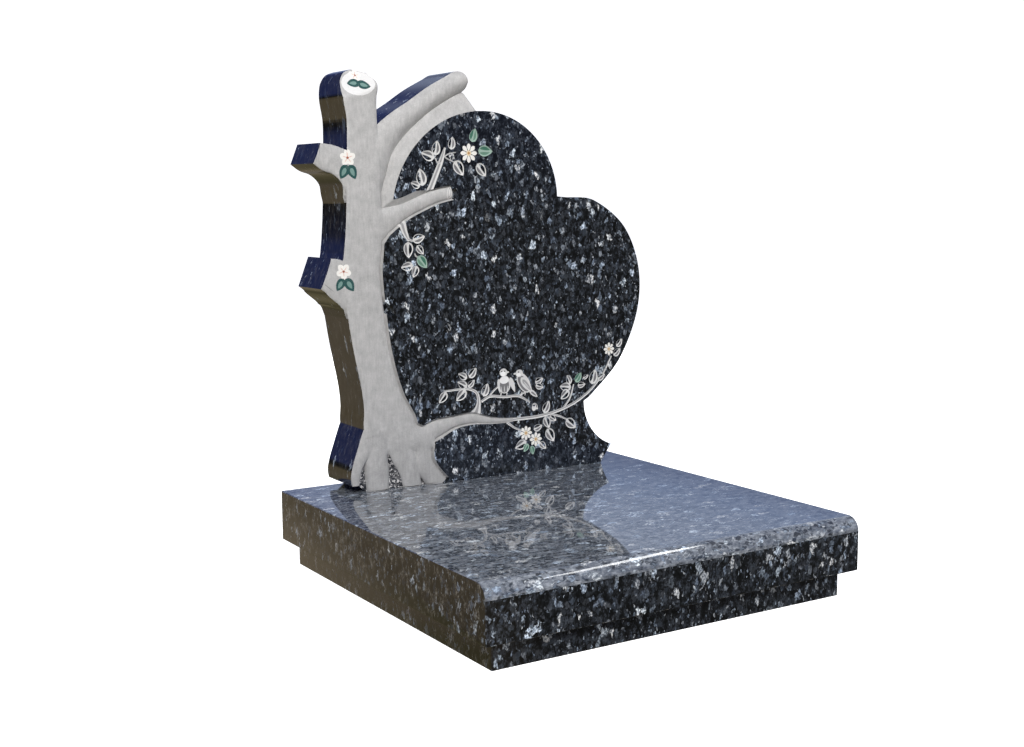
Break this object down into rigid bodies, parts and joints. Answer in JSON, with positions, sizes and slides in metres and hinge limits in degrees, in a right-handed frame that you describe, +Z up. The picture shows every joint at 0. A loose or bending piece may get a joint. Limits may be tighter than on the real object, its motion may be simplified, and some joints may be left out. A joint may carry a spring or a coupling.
{
  "type": "cremation monument",
  "caption": "Polished granite cremation memorial: a heart headstone with a carved tree, leaves, daisies and birds, on a square bullnosed slab over a recessed plinth.",
  "frame": {"origin": "middle of the plinth's underside", "axes": "+X to the right as seen from the front, +Y to the back, so the carved face looks along -Y, +Z up"},
  "size_m": [0.6212, 0.61, 0.7509],
  "materials": {
    "headstone_stone": "polished dark blue-black granite with silver-blue flecks, the carved tree frosted pale grey",
    "base_stone": "polished dark blue-black granite with silver-blue flecks"
  },
  "bodies": {
    "root": {"headstone": "headstone_stone", "base_slab": "base_stone", "plinth": "base_stone"}
  },
  "joints": []
}
